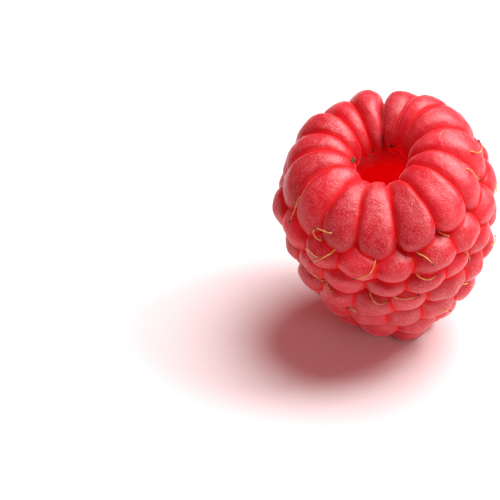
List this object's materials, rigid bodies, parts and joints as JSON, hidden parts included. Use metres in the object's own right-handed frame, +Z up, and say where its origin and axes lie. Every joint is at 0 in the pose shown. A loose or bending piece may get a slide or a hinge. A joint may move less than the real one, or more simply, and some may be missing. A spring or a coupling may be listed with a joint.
{
  "type": "raspberry",
  "caption": "Whole picked red raspberry standing on its tip, mouth up, with an open hollow and dried styles clinging to its drupelets.",
  "frame": {"origin": "on the surface that the berry stands on, under the middle of its bounding box", "axes": "+Z up, out of the mouth; -Y is the side that the mouth slopes down to; the berry leans towards -X"},
  "size_m": [0.024, 0.0242, 0.0261],
  "materials": {
    "berry": "soft moist skin with a pale bloom",
    "styles": "dry golden hairs with brown ends"
  },
  "bodies": {
    "root": {"berry": "berry", "style_01": "styles", "style_02": "styles", "style_03": "styles", "style_04": "styles", "style_05": "styles", "style_06": "styles", "style_07": "styles", "style_08": "styles", "style_09": "styles", "style_10": "styles", "style_11": "styles", "style_12": "styles", "style_13": "styles", "style_14": "styles", "style_15": "styles", "style_16": "styles", "style_17": "styles", "style_18": "styles", "style_19": "styles", "style_20": "styles", "style_21": "styles", "style_22": "styles", "style_23": "styles", "style_24": "styles", "style_25": "styles", "style_26": "styles", "style_27": "styles", "style_28": "styles", "style_29": "styles", "style_30": "styles", "style_31": "styles", "style_32": "styles", "style_33": "styles", "style_34": "styles"}
  },
  "joints": []
}
